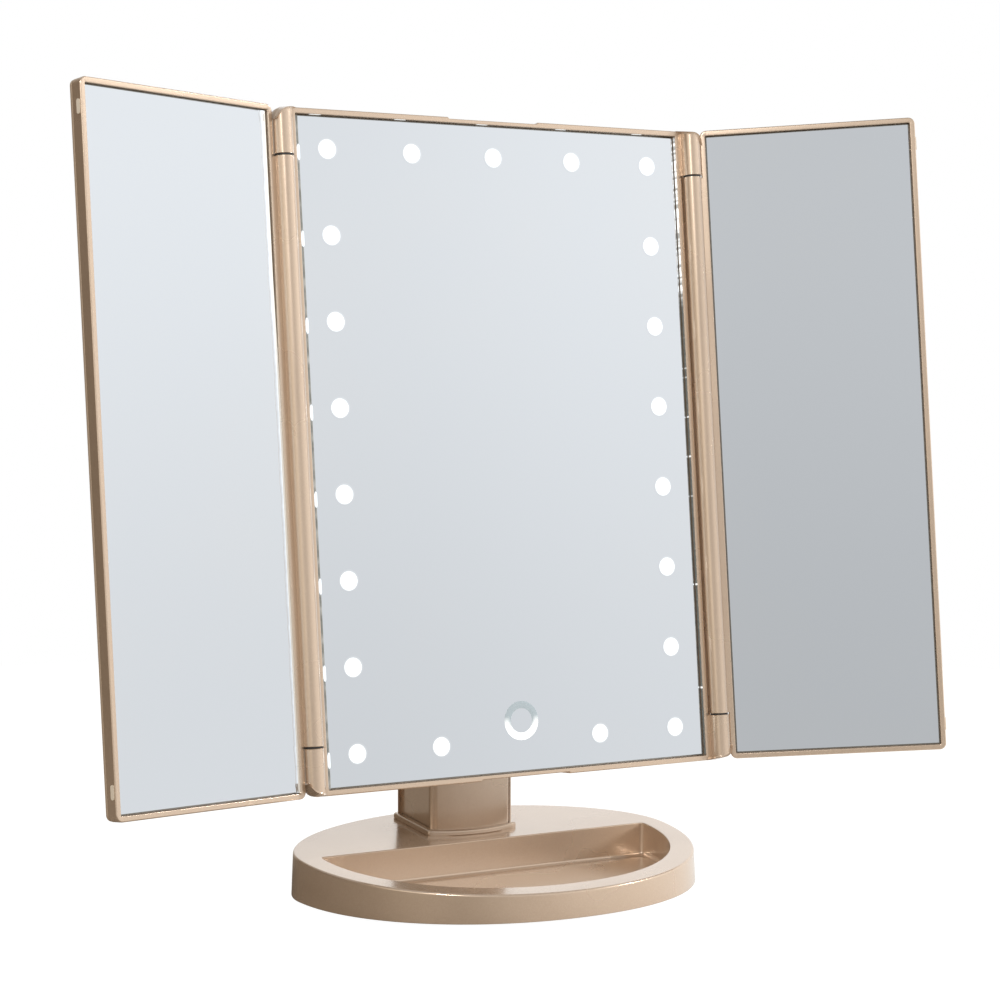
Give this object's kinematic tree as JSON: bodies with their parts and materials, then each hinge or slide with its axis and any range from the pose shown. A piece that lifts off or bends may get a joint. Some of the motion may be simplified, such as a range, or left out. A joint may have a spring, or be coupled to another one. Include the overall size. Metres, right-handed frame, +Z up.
{
  "type": "trifold vanity mirror",
  "caption": "Trifold make-up mirror with a lit centre panel between two folding wings, leaning on a stem in an oval base with a tray.",
  "frame": {"origin": "on the table below the middle of the base's widest line, on the middle foot pad", "axes": "+Z up, -Y toward the viewer in front of the mirror, +X to the viewer's right"},
  "size_m": [0.3359, 0.1249, 0.2932],
  "materials": {
    "champagne_paint": "satin champagne metallic paint",
    "cover_plastic": "satin champagne plastic",
    "plate_plastic": "fine-grained plastic",
    "mirror_glass": "silvered float glass",
    "frosted_glass": "frosted, lit from behind",
    "ring_glass": "frosted ring, lit from behind",
    "led_lens": "yellow phosphor under a clear dome",
    "white_plastic": "white moulded plastic",
    "black_plastic": "black moulded plastic",
    "circuit_board": "green solder mask",
    "copper_foil": "bright copper foil",
    "zinc_steel": "zinc-plated steel",
    "ballast_iron": "rolled steel plate",
    "nickel_steel": "nickel-plated steel",
    "battery_jacket": "plain printed sleeve over a can",
    "nylon": "natural nylon",
    "foam_pad": "closed-cell foam",
    "foot_rubber": "matte",
    "knob_plastic": "moulded, ribbed"
  },
  "bodies": {
    "base": {"base_shell": "champagne_paint", "base_plate": "plate_plastic", "ballast": "ballast_iron", "foot_pads": "foot_rubber", "base_screws": "zinc_steel", "stem_shell": "champagne_paint", "stem_cover": "plate_plastic", "stem_bracket": "zinc_steel", "stem_screws": "zinc_steel", "tilt_bushes": "nylon"},
    "centre_panel": {"centre_frame": "champagne_paint", "centre_mirror": "mirror_glass", "light_windows": "frosted_glass", "touch_ring": "ring_glass", "touch_disc": "mirror_glass", "touch_pad": "copper_foil", "light_baffle": "white_plastic", "led_boards": "circuit_board", "leds": "led_lens", "ribbon_cable": "white_plastic", "control_board": "circuit_board", "usb_socket": "nickel_steel", "switch_case": "black_plastic", "back_cover": "cover_plastic", "cover_screws": "zinc_steel", "battery_contacts": "nickel_steel", "battery_cells": "battery_jacket", "tilt_axle": "zinc_steel", "tilt_nut": "zinc_steel", "hinge_pins": "zinc_steel"},
    "left_wing": {"left_wing_frame": "champagne_paint", "left_wing_mirror": "mirror_glass", "left_wing_pad": "foam_pad", "left_wing_cover": "cover_plastic", "left_wing_bumpers": "champagne_paint", "left_hinge_bushes": "nylon"},
    "right_wing": {"right_wing_frame": "champagne_paint", "right_wing_mirror": "mirror_glass", "right_wing_pad": "foam_pad", "right_wing_cover": "cover_plastic", "right_wing_bumpers": "champagne_paint", "right_hinge_bushes": "nylon"},
    "battery_door": {"battery_door": "cover_plastic"},
    "power_switch": {"power_switch": "knob_plastic"}
  },
  "joints": [
    {"name": "tilt", "type": "hinge", "parent": "base", "child": "centre_panel", "pos_m": [0, 0.02635, 0.084], "axis": [1, 0, 0], "range_deg": [-34, 11]},
    {"name": "left_wing_fold", "type": "hinge", "parent": "centre_panel", "child": "left_wing", "pos_m": [-0.0872, -0.01659, 0.1667], "axis": [0, 0.1045, 0.9945], "range_deg": [-16.5, 163.5]},
    {"name": "right_wing_fold", "type": "hinge", "parent": "centre_panel", "child": "right_wing", "pos_m": [0.0872, -0.01659, 0.1667], "axis": [0, -0.1045, -0.9945], "range_deg": [-33, 147]},
    {"name": "battery_door_slide", "type": "slide", "parent": "centre_panel", "child": "battery_door", "axis": [0, 0.1045, 0.9945], "range_m": [0, 0.064]},
    {"name": "power_switch_slide", "type": "slide", "parent": "centre_panel", "child": "power_switch", "axis": [0, 0.1045, 0.9945], "range_m": [0, 0.003]}
  ]
}
